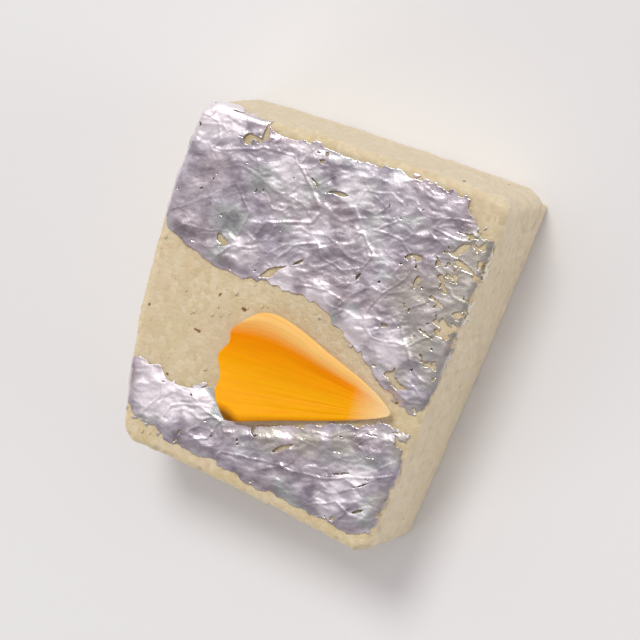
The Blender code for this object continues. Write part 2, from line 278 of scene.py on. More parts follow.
def scooped(place, scoops):
    """Pushes points inside a scoop's ball out to its surface, roughened as crumbled paste is."""
    place = place.copy()
    for x, y, z, radius in scoops:
        away = place - (x, y, z)
        length = np.linalg.norm(away, axis=1)
        inside = length < radius
        crumbly = radius + CRUMBLE_HEIGHT * noise(place[inside], CRUMBLE_SIZE, seed=8)
        place[inside] += away[inside] * (crumbly / length[inside] - 1)[:, None]
    return place


SCOOPS = np.vstack([CHIPS, edge_nicks()])
NO_SCOOPS = ()
print("crumbled spots:", len(SCOOPS))


# %% The whole way from the plain box to the surface
def block_surface(points, scoops=SCOOPS):
    """A point of the plain box is rounded, bent, raised by the top's relief, roughened along its
    outward direction, and scooped. The foot stays level. Returns places and outward directions."""
    place, facing = rounded_box(points)
    place[:, :2] = bent_plan(place[:, :2], place[:, 2:])
    risen = place[:, 2] / THICKNESS
    upward = np.maximum(facing[:, 2], 0)
    dimples = sum(depth * noise(place, size, seed=4) for size, depth in TOP_DIMPLES)
    rough = side_relief(place) * (1 - upward) ** 2 + dimples * upward
    rough *= eased(place[:, 2] / LEVEL_FOOT)
    place[:, 2] += top_relief(place[:, :2]) * risen
    place = scooped(place + facing * rough[:, None], scoops)
    place[:, 2] = np.maximum(place[:, 2], 0)
    return place, facing


# %% [markdown]
# ## From arrays to a mesh
#
# A box's surface can be covered by six grids that share their border points. Numbering the points of
# the outer shell of a block of cells once gives that directly: each side of the block is a slice of the
# numbers, and neighbouring slices hold the same numbers at their border, so the mesh has no seams.

# %% Box lattice and mesh helper
BLOCK_CELL = 0.22 * MM


def grid_quads(number):
    """Four-cornered faces of a grid of point numbers, turning from its rows towards its columns."""
    corners = (number[:-1, :-1], number[1:, :-1], number[1:, 1:], number[:-1, 1:])
    return np.stack(corners, axis=-1).reshape(-1, 4)


def box_lattice(half, cell):
    """Points and faces of a closed box in cells of about `cell`: the points lie evenly from -half to
    half in x and y and from 0 to twice half in z."""
    counts = np.round(2 * half / cell).astype(int)
    shell = np.zeros(counts + 1, bool)
    shell[[0, -1]] = True
    shell[:, [0, -1]] = True
    shell[:, :, [0, -1]] = True
    number = np.full(shell.shape, -1)
    number[shell] = np.arange(shell.sum())
    points = (np.argwhere(shell) / counts * 2 - 1) * half + (0, 0, half[2])
    sides = (number[-1], number[0].T, number[:, 0], number[:, -1].T, number[:, :, -1], number[:, :, 0].T)
    return points, np.vstack([grid_quads(side) for side in sides])


def make_piece(name, points, faces, finish):
    """A smooth mesh object at the origin from points and faces, all with equally many corners."""
    mesh = bpy.data.meshes.new(name)
    mesh.vertices.add(len(points))
    mesh.vertices.foreach_set("co", np.asarray(points, np.float32).ravel())
    mesh.loops.add(faces.size)
    mesh.loops.foreach_set("vertex_index", faces.astype(np.int32).ravel())
    mesh.polygons.add(len(faces))
    mesh.polygons.foreach_set("loop_start", np.arange(0, faces.size, faces.shape[1], dtype=np.int32))
    mesh.update(calc_edges=True)
    mesh.validate()
    mesh.polygons.foreach_set("use_smooth", np.ones(len(faces), bool))
    mesh.materials.append(finish)
    piece = bpy.data.objects.new(name, mesh)
    bpy.context.scene.collection.objects.link(piece)
    return piece


def set_mark(piece, name, values):
    """Keeps one number for each point of the mesh under a name that its finish reads."""
    layer = piece.data.attributes.new(name, "FLOAT", "POINT")
    layer.data.foreach_set("value", np.asarray(values, np.float32))


# %% [markdown]
# ## Writing finishes as nodes
#
# Each finish is a Principled shader with a few texture nodes before it. Small helpers keep the recipes
# readable: they feed a node, add one, make a noise, stretch a number and blend two colours. Patterns
# are read from Object coordinates, which are metres on the real piece.

# %% Node helpers
def feed(finish, node, **inputs):
    """Gives a node its inputs by name. A socket is linked, and any other value is set."""
    for name, value in inputs.items():
        target = node.inputs[name.replace("_", " ")]
        if isinstance(value, bpy.types.NodeSocket):
            finish.node_tree.links.new(value, target)
        else:
            target.default_value = value


def new_finish(name, **inputs):
    """A material whose Principled shader has the named inputs."""
    finish = bpy.data.materials.new(name)
    finish.use_nodes = True
    shader = finish.node_tree.nodes["Principled BSDF"]
    feed(finish, shader, **inputs)
    return finish, shader


def add_node(finish, kind, settings=None, **inputs):
    """Adds a node with its settings and inputs to a material or a world."""
    node = finish.node_tree.nodes.new(kind)
    for key, value in (settings or {}).items():
        setattr(node, key, value)
    feed(finish, node, **inputs)
    return node


def noise_texture(finish, size, detail=2.0, roughness=0.5, vector=None):
    """Noise whose bumps are about `size` metres across, read from Object coordinates."""
    if vector is None:
        vector = add_node(finish, "ShaderNodeTexCoord").outputs["Object"]
    node = add_node(finish, "ShaderNodeTexNoise", Vector=vector, Scale=1 / size, Detail=detail,
                    Roughness=roughness)
    return node.outputs["Fac"]


def ramp(finish, value, low, high):
    """0 at `low` and below, 1 at `high` and above, a straight line between."""
    node = add_node(finish, "ShaderNodeMapRange", Value=value, From_Min=low, From_Max=high)
    return node.outputs["Result"]


def blend(finish, share, first, second, kind="MIX"):
    """The first colour where share is 0 and the second where it is 1."""
    node = add_node(finish, "ShaderNodeMix", {"data_type": "RGBA", "blend_type": kind})
    for target, value in ((node.inputs[0], share), (node.inputs[6], first), (node.inputs[7], second)):
        if isinstance(value, bpy.types.NodeSocket):
            finish.node_tree.links.new(value, target)
        else:
            target.default_value = value if isinstance(value, float) else (*value, 1)
    return node.outputs[2]


# %% [markdown]
# ## Finish of the almond paste
#
# The paste is a warm cream. Light goes a millimetre or two into it, which softens its shadows, so the
# shader scatters light under the surface. Ground almonds make it slightly mottled: pale meal, a few
# honey-coloured spots, and rare brown flecks of skin. The sides are painted a shade paler and less
# yellow than the top, a painted highlight, so the block is marked where it was cut and the finish
# reads the mark.

# %% Paste finish
PASTE_CREAM = (0.655, 0.54, 0.325)
PASTE_ROSE = (0.685, 0.555, 0.365)
PASTE_PALE = (0.74, 0.645, 0.455)
PASTE_HONEY = (0.60, 0.455, 0.25)
# The paler, less yellow tone of the sides: a painted highlight.
PASTE_SIDE_HIGHLIGHT = (0.72, 0.65, 0.53)
SKIN_BROWN = (0.27, 0.13, 0.05)
PATCH_SIZE = 7 * MM
HONEY_SIZE = 1.1 * MM
FLECK_SIZE = 0.8 * MM
GRANULE_SIZE = 0.6 * MM
GRAIN_SIZE = 0.30 * MM


def paste_finish():
    """Cream with broad patches, granules of meal that each have their own tone, honey spots and rare
    skin flecks. The bump is the granules' roundness with a finer grain."""
    finish, shader = new_finish(
        "almond_paste", Roughness=0.58, IOR=1.46, Subsurface_Weight=0.25,
        Subsurface_Scale=0.7 * MM, Subsurface_Radius=(1.0, 0.7, 0.4))
    patches = ramp(finish, noise_texture(finish, PATCH_SIZE), 0.35, 0.68)
    honey = ramp(finish, noise_texture(finish, HONEY_SIZE), 0.66, 0.80)
    flecks = ramp(finish, noise_texture(finish, FLECK_SIZE, detail=0), 0.845, 0.87)
    place = add_node(finish, "ShaderNodeTexCoord").outputs["Object"]
    granules = add_node(finish, "ShaderNodeTexVoronoi", Vector=place, Scale=1 / GRANULE_SIZE)
    meal = add_node(finish, "ShaderNodeSeparateXYZ", Vector=granules.outputs["Color"]).outputs["X"]
    colour = blend(finish, patches, PASTE_CREAM, PASTE_ROSE)
    colour = blend(finish, ramp(finish, meal, 0.45, 1.3), colour, PASTE_PALE)
    colour = blend(finish, ramp(finish, meal, 0.30, -0.4), colour, PASTE_HONEY)
    colour = blend(finish, honey, colour, blend(finish, 0.5, colour, PASTE_HONEY))
    # The sides are painted paler and less yellow than the top: a painted highlight.
    cut = add_node(finish, "ShaderNodeAttribute", {"attribute_name": "cut"}).outputs["Fac"]
    colour = blend(finish, ramp(finish, cut, 0.1, 2.4), colour, PASTE_SIDE_HIGHLIGHT)
    colour = blend(finish, flecks, colour, SKIN_BROWN)
    round_top = ramp(finish, granules.outputs["Distance"], 0.7, 0.0)
    rounded = add_node(finish, "ShaderNodeBump", Height=round_top, Strength=0.4, Distance=0.10 * MM)
    grain = noise_texture(finish, GRAIN_SIZE, detail=4, roughness=0.65)
    bump = add_node(finish, "ShaderNodeBump", Height=grain, Strength=0.8, Distance=0.12 * MM,
                    Normal=rounded.outputs["Normal"])
    feed(finish, shader, Base_Color=colour, Normal=bump.outputs["Normal"])
    return finish


paste = paste_finish()

# %% Make the block
half_box = np.array((HALF_LENGTH, HALF_WIDTH, THICKNESS / 2))
box_points, box_faces = box_lattice(half_box, BLOCK_CELL)
block_points, block_facing = block_surface(box_points)
block = make_piece("cut_almond_block", block_points, box_faces, paste)
# Marks the sides, where the finish paints a highlight.
set_mark(block, "cut", 1 - np.maximum(block_facing[:, 2], 0))
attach(block, "root")
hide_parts("almond_block")
beyond = np.subtract((block_points.min(0), block_points.max(0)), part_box("almond_block")) / MM
print("block: %d faces, its box less the solid's in mm: %s" % (len(box_faces), beyond.round(2).tolist()))

# %% [markdown]
# ## Silver leaf
#
# Beaten silver is thinner than a thousandth of a millimetre. It has no stiffness, so it takes the shape
# of the paste, wrinkles into a mesh of sharp little folds, and tears into ragged pieces with pinholes
# and loose shreds at their edges. A cloth simulation would be slow at that fineness and hard to steer
# to a given outline. Instead the leaf is a height field on the block's surface. The outline is a closed
# curve through a few measured points, and random facets of three sizes move it in and out.

# %% Outlines of the two torn pieces, in plan
MAIN_LEAF = np.array((
    (17.8, 18.2), (20.6, 16.9), (20.8, 14.2), (19.7, 11.6), (18.9, 9.0), (18.5, 6.4), (18.7, 3.4),
    (18.8, -0.4), (19.1, -4.2), (19.3, -8.2), (19.1, -11.1), (19.1, -13.2), (17.6, -14.6),
    (16.4, -16.8), (13.6, -17.9), (10.2, -17.6), (6.5, -17.4), (2.7, -16.8), (-0.8, -16.0),
    (-3.3, -15.0), (-4.0, -13.3), (-2.5, -10.7), (0.0, -7.3), (1.1, -5.0), (2.6, -1.8), (3.3, 1.2),
    (3.4, 4.0), (3.1, 7.0), (2.9, 10.1), (3.2, 12.5), (4.4, 15.1), (5.5, 17.2), (7.4, 18.5),
    (10.4, 18.7), (13.3, 18.0), (16.0, 17.8),
)) * MM
CORNER_LEAF = np.array((
    (-9.8, 16.9), (-9.2, 15.1), (-10.0, 12.7), (-10.5, 10.3), (-9.8, 7.7), (-11.0, 5.8),
    (-12.0, 3.2), (-11.0, -0.2), (-10.0, -3.2), (-8.2, -7.4), (-6.8, -10.4), (-6.3, -12.3),
    (-6.8, -15.0), (-9.0, -15.2), (-12.2, -15.0), (-16.2, -14.6), (-18.1, -13.3), (-18.5, -11.0),
    (-18.2, -7.4), (-17.9, -3.7), (-17.6, 0.4), (-17.0, 3.8), (-16.7, 6.5), (-16.1, 11.3),
    (-15.6, 14.2), (-14.1, 15.7), (-11.5, 16.8),
)) * MM
CURVE_STEPS = 10


def closed_curve(points):
    """A smooth closed curve through the points: between two of them it is the cubic whose slope at
    each end is half the way from that end's neighbour before to its neighbour after."""
    before, after, beyond = np.roll(points, 1, 0), np.roll(points, -1, 0), np.roll(points, -2, 0)
    t = (np.arange(CURVE_STEPS) / CURVE_STEPS)[None, :, None]
    a, b, c, d = (p[:, None, :] for p in (before, points, after, beyond))
    curve = b + (c - a) * t / 2 + (2 * a - 5 * b + 4 * c - d) * t ** 2 / 2
    curve = curve + (3 * b - a - 3 * c + d) * t ** 3 / 2
    return curve.reshape(-1, 2)


def distance_inside(plan, curve):
    """Distance of each place from the nearest of the curve's sides, above 0 inside it. A place is
    inside where a line from it to the right crosses the curve an odd number of times."""
    start, end = curve, np.roll(curve, -1, 0)
    nearest = np.full(len(plan), np.inf)
    crossings = np.zeros(len(plan), int)
    for a, b in zip(start, end):
        side = b - a
        share = np.clip(((plan - a) @ side) / (side @ side), 0, 1)
        nearest = np.minimum(nearest, np.linalg.norm(plan - a - share[:, None] * side, axis=1))
        spans = (a[1] > plan[:, 1]) != (b[1] > plan[:, 1])
        rise = side[1] if side[1] else 1.0
        crossings += spans & (plan[:, 0] < a[0] + (plan[:, 1] - a[1]) * side[0] / rise)
    return np.where(crossings % 2 == 1, nearest, -nearest)


# %% Where the leaf is, as one number for each place
TEARS = ((2.4 * MM, 0.42 * MM), (1.0 * MM, 0.28 * MM), (0.45 * MM, 0.10 * MM))
# Each spot has its x, y and radius in millimetres, and how strong it is.
WORN_SPOTS = (
    (14.5, -17.4, 4.8, 1.00), (10.5, -15.5, 5.6, 0.90), (6.0, -16.5, 5.6, 0.95),
    (1.0, -15.5, 3.4, 0.80), (7.0, -11.5, 5.5, 0.72), (-1.0, -11.5, 2.6, 0.68),
    (-8.0, -15.0, 2.6, 0.80), (-14.0, -14.8, 2.6, 0.75), (-3.6, -14.6, 2.0, 0.60),
)
HOLE_REACH = 2.2 * MM
HOLE_LEVEL = 0.92
HOLE_SLOPE = 0.5 * MM
MORE_NEAR_EDGE = 0.22
MORE_WHERE_WORN = 0.80
HOLE_FACETS = ((0.75, 1.1 * MM, 0, 12), (0.45, 0.45 * MM, 30, 13))
CRACK_SPACING = 2.6 * MM
CRACK_WIDTH = 0.22 * MM
SHRED_REACH = 1.6 * MM
SHRED_LEVEL = 0.50
FOLD_TURN = 110


def turned(plan, degrees):
    """The places as seen along a direction at that angle from +X: how far along, and how far across."""
    c, s = math.cos(math.radians(degrees)), math.sin(math.radians(degrees))
    return plan @ np.array(((c, -s), (s, c)))


def spots(plan, centres):
    """The strongest of several round spots at each place. A spot fades from its amount at the
    middle to 0 at its radius along an S-shaped curve."""
    strongest = np.zeros(len(plan))
    for x, y, radius, amount in centres:
        away = np.linalg.norm(plan - np.array((x, y)) * MM, axis=1) / (radius * MM)
        strongest = np.maximum(strongest, amount * eased(1.4 - 1.4 * away))
    return strongest


def leaf_amount(plan, curve):
    """Above 0 where there is leaf, roughly the distance from its edge.

    Facets of three sizes tear the outline. Pinholes open where finer facets are high, sooner near
    the edge and where the leaf was rubbed off. Cracks open along lines where wide facets pass 0, in
    places that a slow noise picks. Shreds stay outside the outline where one more noise is high."""
    inside = distance_inside(plan, curve)
    torn = inside + sum(depth * facets(plan, size, seed=11) for size, depth in TEARS)
    near_edge = eased(1 - inside / HOLE_REACH)
    level = HOLE_LEVEL - MORE_NEAR_EDGE * near_edge - MORE_WHERE_WORN * spots(plan, WORN_SPOTS)
    fine = sum(part * facets(turned(plan, angle), size, seed) for part, size, angle, seed in HOLE_FACETS)
    pinholes = (level - fine) * HOLE_SLOPE
    picked = np.maximum(flat_noise(plan, CRACK_SPACING, seed=17) - 0.25, 0) * 2.5
    along_folds = turned(plan, FOLD_TURN) * (0.45, 1)
    cracks = np.abs(facets(along_folds, CRACK_SPACING, seed=16)) * 1.6 * MM - CRACK_WIDTH * picked
    cracks = cracks + 0.05 * MM * fine + 0.02 * MM
    shred_noise = flat_noise(plan, 0.8 * MM, seed=14) + 0.3 * flat_noise(plan, 0.35 * MM, seed=15)
    shreds = (shred_noise - SHRED_LEVEL - np.maximum(-inside, 0) / SHRED_REACH) * 0.4 * MM
    return np.maximum(np.minimum(np.minimum(torn, pinholes), cracks), shreds)


# %% [markdown]
# ## Cutting a sheet along a contour
#
# The leaf is cut out of a fine grid along the line where that number is 0. Deleting whole cells would
# leave steps, and a Boolean would be slow. So each triangle of the grid is looked at by how many of its
# corners are inside: three keeps it, two leaves a four-sided stump, one leaves a tip, and the new
# corners lie where the number crosses 0 along the triangle's edges.

# %% Contour-cut sheet
LEAF_CELL = 0.125 * MM
# A cut stays this share of an edge away from its ends, so that no triangle is a sliver.
LEAST_SHARE = 0.06


def grid_triangles(rows, columns):
    """Two triangles for each cell of a grid, their diagonals turned alternately."""
    number = np.arange(rows * columns).reshape(rows, columns)
    quads = grid_quads(number)
    row, column = np.divmod(np.arange(len(quads)), columns - 1)
    odd = (row + column) % 2 == 1
    quads[odd] = np.roll(quads[odd], 1, axis=1)
    return np.vstack([quads[:, [0, 1, 2]], quads[:, [0, 2, 3]]])


def cut_sheet(points, amount, triangles):
    """Keeps the part of the triangles where amount is above 0. Returns points and triangles."""
    inside = amount > 0
    count = inside[triangles].sum(axis=1)
    kept = [triangles[count == 3]]
    crossing = []
    for wanted, odd_one in ((1, True), (2, False)):
        cut = triangles[count == wanted]
        turn = np.argmax(inside[cut] == odd_one, axis=1)
        cut = np.take_along_axis(cut, (turn[:, None] + np.arange(3)) % 3, axis=1)
        crossing.append(cut)
    tips, stumps = crossing
    edges = np.vstack([tips[:, [0, 1]], tips[:, [0, 2]], stumps[:, [0, 1]], stumps[:, [0, 2]]])
    unique_edges, where = np.unique(np.sort(edges, axis=1), axis=0, return_inverse=True)
    first, second = unique_edges.T
    share = amount[first] / (amount[first] - amount[second])
    share = np.clip(share, LEAST_SHARE, 1 - LEAST_SHARE)[:, None]
    new_points = points[first] * (1 - share) + points[second] * share
    where = where.ravel() + len(points)
    tip_ab, tip_ac, stump_ab, stump_ac = np.split(
        where, np.cumsum([len(tips), len(tips), len(stumps)]))
    kept.append(np.column_stack([tips[:, 0], tip_ab, tip_ac]))
    kept.append(np.column_stack([stump_ab, stumps[:, 1], stumps[:, 2]]))
    kept.append(np.column_stack([stump_ab, stumps[:, 2], stump_ac]))
    kept = np.vstack(kept)
    used, faces = np.unique(kept, return_inverse=True)
    return np.vstack([points, new_points])[used], faces.reshape(-1, 3)


# %% [markdown]
# ## Laying the leaf on the block
#
# A place on the plan is first traced back to the plain box. What lies beyond the box's top face turns
# down its side, so a shred that overhangs the edge drapes over it. Then the block's own functions give
# the surface, and the wrinkles are added along its outward direction. Crumpled foil is made of small
# flat facets that meet in sharp folds, so three sizes of random facets are added up, with a few thin
# pinched creases. The folds run mostly across the block, as the leaf was dragged a little that way.

# %% Draping and wrinkles
LEAF_GAP = 0.04 * MM
LEAF_WALL = 0.02 * MM
FOLDS = ((2.0 * MM, 0.080 * MM, 0), (0.9 * MM, 0.055 * MM, 40), (0.42 * MM, 0.030 * MM, 75))
FOLD_STRETCH = 0.6
CREASES = ((3.4 * MM, 0.070 * MM, 20), (1.6 * MM, 0.040 * MM, 65))
CREASE_HALF_WIDTH = 0.11 * MM
SWELL_SIZE = 5.0 * MM
SWELL_HEIGHT = 0.14 * MM
DRIFT = 0.25 * MM
CALM_SPOTS = ((10.0, 14.0, 7.0, 0.6), (9.0, 18.0, 4.0, 0.6))
EDGE_WIDTH = 1.5 * MM
LIFT_HEIGHT = 0.15 * MM


def plain_place(plan):
    """The plan place on the plain box that bends to this one: a guess is corrected by what it misses
    by, eight times over."""
    guess = plan.copy()
    for _ in range(8):
        guess += plan - bent_plan(guess, THICKNESS)
    return guess


def wrinkles(plan):
    """Height of the wrinkles above the lowest lie of the leaf: a slow swell, facets of three sizes
    drawn out along the folds, and pinched creases. A crease is a narrow roof along the line where
    wider facets pass 0. The places are first shifted by a slow noise, so that no fold is quite
    straight. Calm spots have lower facets."""
    drift = np.column_stack([flat_noise(plan, 2.2 * MM, seed=s) for s in (21, 22)])
    place = turned(plan + DRIFT * drift, FOLD_TURN) * (FOLD_STRETCH, 1)
    height = sum(depth * (1 + facets(turned(place, angle), size, seed=23)) for size, depth, angle in FOLDS)
    for size, rise, angle in CREASES:
        away = np.abs(facets(turned(place, angle), size, seed=26)) * size / 1.6
        height = height + rise * np.maximum(1 - away / CREASE_HALF_WIDTH, 0)
    height *= 1 - spots(plan, CALM_SPOTS)
    return height + SWELL_HEIGHT * (1 + flat_noise(plan, SWELL_SIZE, seed=28)) / 2


def lay_leaf(plan, inside):
    """Places of the leaf over the plan: on the block, raised by a gap and the wrinkles, which settle
    towards the torn edge and where the leaf is worn, and at the edge by a lift that comes and goes."""
    box_plan = plain_place(plan)
    clipped = np.clip(box_plan, -HALF_SIDES, HALF_SIDES)
    overhang = np.abs(box_plan - clipped).sum(axis=1)
    place, facing = block_surface(np.column_stack([clipped, THICKNESS - overhang]), scoops=NO_SCOOPS)
    settled = (0.2 + 0.8 * eased(inside / EDGE_WIDTH)) * (1 - 0.45 * spots(plan, WORN_SPOTS))
    lifted = eased(1 - inside / EDGE_WIDTH) * np.maximum(flat_noise(plan, 1.8 * MM, seed=27), 0)
    height = LEAF_GAP + wrinkles(plan) * settled + LIFT_HEIGHT * lifted
    return place + facing * height[:, None]


# Spots where the silver is rougher and its colour is painted paler: a painted highlight.
FROST_HIGHLIGHT_SPOTS = (
    (18.0, 15.5, 5.0, 1.0), (5.5, 8.0, 2.6, 0.8), (4.2, 3.5, 2.8, 0.9), (3.4, -1.0, 2.6, 0.8),
    (2.0, -6.0, 3.0, 1.0), (10.5, 2.0, 3.2, 0.5), (14.5, 6.0, 3.4, 0.55), (12.0, -4.5, 3.6, 0.5),
    (17.5, -6.0, 3.2, 0.5), (-12.3, 12.3, 4.6, 1.0), (-11.5, 8.4, 3.0, 0.8), (-13.0, -10.5, 3.2, 0.6),
    (-16.2, -9.0, 2.6, 0.6), (15.8, -1.7, 3.0, 0.7), (1.6, -9.6, 3.2, 0.8),
)
# Spots where the silver's colour is painted darker: a painted dark reflection.
DARK_REFLECTION_SPOTS = ((8.7, -2.6, 4.2, 1.0), (5.6, 8.2, 2.6, 0.6), (12.5, -11.5, 3.4, 0.5))
THIN_SPOTS = (
    (-11.9, -0.6, 2.4, 0.8), (-11.0, -4.6, 2.6, 0.9), (-9.6, -8.4, 2.2, 0.7), (3.6, -12.6, 3.4, 0.9),
)
LEAF_MARKS = {
    "worn": WORN_SPOTS + THIN_SPOTS, "frost_and_highlight": FROST_HIGHLIGHT_SPOTS, "dark_reflection": DARK_REFLECTION_SPOTS,
}


def make_leaf(name, node, outline, finish):
    """One torn piece of leaf: a grid over the outline, cut, laid on the block, with a thin wall. It
    is marked where it is worn or so thin that the paste tints it, where its colour is painted darker as
    a painted dark reflection, and where it is rougher and painted paler as a painted highlight."""
    curve = closed_curve(outline)
    low, high = curve.min(0) - 2 * MM, curve.max(0) + 2 * MM
    rows, columns = np.ceil((high - low) / LEAF_CELL).astype(int)
    x, y = np.meshgrid(np.linspace(low[0], high[0], rows), np.linspace(low[1], high[1], columns),
                       indexing="ij")
    plan = np.column_stack([x.ravel(), y.ravel()])
    plan, faces = cut_sheet(plan, leaf_amount(plan, curve), grid_triangles(rows, columns))
    points = lay_leaf(plan, distance_inside(plan, curve))
    leaf = make_piece(name, points, faces, finish)
    for mark, places in LEAF_MARKS.items():
        set_mark(leaf, mark, spots(plan, places))
    wall = leaf.modifiers.new("Wall", "SOLIDIFY")
    wall.thickness = LEAF_WALL
    wall.offset = 1
    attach(leaf, "root")
    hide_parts(node)
    print("%s: %d triangles before its wall" % (name, len(faces)))


# %% [markdown]
# ## Finish of the silver
#
# Clean silver is almost a mirror, and its look is made by what it reflects: white where a fold tips
# towards the light, grey where it faces the dim side of the room. The shader is fully metallic with a
# roughness that wanders, and a fine bump adds the creases that are too small for the mesh. The tint
# drifts between lilac, rose and a green grey. It is olive where the paste shows through. At listed
# spots it is painted darker, a painted dark reflection, and at others it is rougher and painted paler,
# a painted highlight.

# %% Leaf finish
LEAF_LILAC = (0.92, 0.85, 0.94)
LEAF_ROSE = (0.98, 0.86, 0.88)
LEAF_GREEN = (0.83, 0.88, 0.83)
LEAF_DULL = (0.60, 0.58, 0.60)
# The colour of the painted dark reflection.
LEAF_DARK_REFLECTION = (0.65, 0.58, 0.62)
LEAF_WORN = (0.80, 0.76, 0.62)
# The colour of the painted highlight where the silver is also rougher.
LEAF_FROST_HIGHLIGHT = (0.97, 0.91, 0.94)
FROST_WEIGHT = 0.6
SMOOTH_ROUGHNESS = 0.26
FROSTED_ROUGHNESS = 0.60
CLOUD_SIZE = 1.3 * MM
TINT_SIZE = 6 * MM
GREEN_SIZE = 4 * MM
DULL_SIZE = 2.0 * MM
CREASE_SIZE = 0.35 * MM


def leaf_finish():
    """Metal whose tint, dullness and roughness come from noises of four sizes, with a fine bump. The
    piece's marks make it rougher and painted paler, a painted highlight, where it is frosted, painted
    darker, a painted dark reflection, at their own spots, and olive where it is worn."""
    finish, shader = new_finish("beaten_silver", Metallic=1.0)
    worn, frost_and_highlight, dark_reflection = (
        add_node(finish, "ShaderNodeAttribute", {"attribute_name": mark}).outputs["Fac"]
        for mark in LEAF_MARKS)
    cloudy = noise_texture(finish, CLOUD_SIZE, detail=3)
    added = add_node(finish, "ShaderNodeMath", {"operation": "MULTIPLY_ADD"}, Value=frost_and_highlight)
    added.inputs[1].default_value = FROST_WEIGHT
    finish.node_tree.links.new(cloudy, added.inputs[2])
    frost_highlight = ramp(finish, added.outputs["Value"], 0.45, 1.0)
    tint = ramp(finish, noise_texture(finish, TINT_SIZE, detail=1), 0.38, 0.62)
    green = ramp(finish, noise_texture(finish, GREEN_SIZE), 0.52, 0.68)
    dull = ramp(finish, noise_texture(finish, DULL_SIZE, detail=3), 0.34, 0.60)
    colour = blend(finish, tint, LEAF_LILAC, LEAF_ROSE)
    colour = blend(finish, green, colour, LEAF_GREEN)
    shade = blend(finish, dull, LEAF_DULL, (1, 1, 1))
    colour = blend(finish, 1.0, colour, shade, kind="MULTIPLY")
    # Painted dark reflection at its listed spots.
    colour = blend(finish, dark_reflection, colour, LEAF_DARK_REFLECTION)
    colour = blend(finish, ramp(finish, worn, 0.1, 1.1), colour, LEAF_WORN)
    # Painted highlight: paler colour where the frost mark is high, which also raises the roughness.
    colour = blend(finish, frost_highlight, colour, LEAF_FROST_HIGHLIGHT)
    rough = add_node(finish, "ShaderNodeMapRange", Value=frost_highlight, To_Min=SMOOTH_ROUGHNESS,
                     To_Max=FROSTED_ROUGHNESS)
    creases = noise_texture(finish, CREASE_SIZE, detail=3, roughness=0.65)
    bump = add_node(finish, "ShaderNodeBump", Height=creases, Strength=0.5, Distance=0.08 * MM)
    feed(finish, shader, Base_Color=colour, Roughness=rough.outputs["Result"],
         Normal=bump.outputs["Normal"])
    return finish


silver = leaf_finish()
make_leaf("torn_leaf_main", "silver_leaf_main", MAIN_LEAF, silver)
make_leaf("torn_leaf_corner", "silver_leaf_corner", CORNER_LEAF, silver)

# %% [markdown]
# ## The marigold petal
#
# A ray petal of a marigold is a narrow claw that widens into a blunt, faintly lobed end. This one fell
# face up. Its right edge is rolled up into a ridge with a rim painted pale, a painted highlight, its
# left end corner stands off the sweet, and the left edge itself curls down. It could be drawn flat and
# bent with modifiers, but one function of two numbers, the share along it and the side across it,
# gives shape, ribs and curl together, and the same two numbers serve as its UV map for the colours.

# %% Petal shape
PETAL_FOOT = np.array((-4.7, -12.1)) * MM
PETAL_TURN = math.radians(93.5)
PETAL_LENGTH = 19.2 * MM
PETAL_WALL = 0.16 * MM
PETAL_GAP = 0.3 * MM
PETAL_HALF_WIDTHS = np.array((
    (0.0, 0.6, 0.55), (0.12, 1.75, 1.5), (0.24, 2.7, 2.4), (0.36, 3.6, 3.15), (0.5, 4.7, 3.9),
    (0.62, 5.55, 4.6), (0.82, 6.1, 5.55), (1.0, 5.2, 5.9),
))
PETAL_RIGHT, PETAL_LEFT = np.polyfit(PETAL_HALF_WIDTHS[:, 0], PETAL_HALF_WIDTHS[:, 1:], 5).T
PETAL_END_BULGE = 2.4 * MM
PETAL_LOBE_DEPTH = 0.28 * MM
PETAL_CREASE = 0.2
PETAL_RIDGE = 0.84
PETAL_ROLL = 1.0 * MM
PETAL_ROLL_BACK_SHARE = 0.35
PETAL_LIFT = 2.4 * MM
PETAL_FOOT_RISE = 0.9 * MM
PETAL_FOOT_SHARE = 0.35
PETAL_TIP_BULGE = 0.5 * MM
PETAL_TIP_SHARE = 0.1
PETAL_CURL = 0.4 * MM
PETAL_CURL_START = 0.84
RIB_COUNT = 9
RIB_HEIGHT = 0.05 * MM
PETAL_ROWS = 150
PETAL_COLUMNS = 90


def petal_surface(share, side):
    """The petal before it is turned into place. Its width to each side is a polynomial through the
    stations. Right of the crease it rises to a ridge and rolls over, the left end corner lifts, the
    left edge curls down, the foot tips up and is round, and a noise drawn out along the petal makes
    the ribs."""
    end_zone = share ** 4
    lobes = PETAL_LOBE_DEPTH * np.cos(3 * math.pi * side) * end_zone
    tip = PETAL_TIP_BULGE * (1 - side ** 2) * np.maximum(1 - share / PETAL_TIP_SHARE, 0)
    along = PETAL_LENGTH * share - PETAL_END_BULGE * side ** 2 * end_zone + lobes - tip
    width = np.where(side > 0, np.polyval(PETAL_LEFT, share), np.polyval(PETAL_RIGHT, share))
    across = width * MM * side
    climb = eased((-side - PETAL_CREASE) / (PETAL_RIDGE - PETAL_CREASE))
    rolled_over = np.maximum(-side - PETAL_RIDGE, 0) / (1 - PETAL_RIDGE)
    roll = PETAL_ROLL * (climb - PETAL_ROLL_BACK_SHARE * rolled_over ** 2) * eased(2 * share)
    lift = PETAL_LIFT * np.maximum(side, 0) ** 1.6 * share ** 2
    curled = np.maximum(side - PETAL_CURL_START, 0) / (1 - PETAL_CURL_START)
    lift = lift - PETAL_CURL * share * curled ** 2
    foot = PETAL_FOOT_RISE * np.maximum(1 - share / PETAL_FOOT_SHARE, 0) ** 2
    ribs = RIB_HEIGHT * flat_noise(np.stack([share * 1.5, side * RIB_COUNT], axis=-1), 1.0, seed=33)
    ribs = ribs * np.minimum(4 * share, 1)
    return np.stack([along, across, roll + lift + foot + ribs], axis=-1)


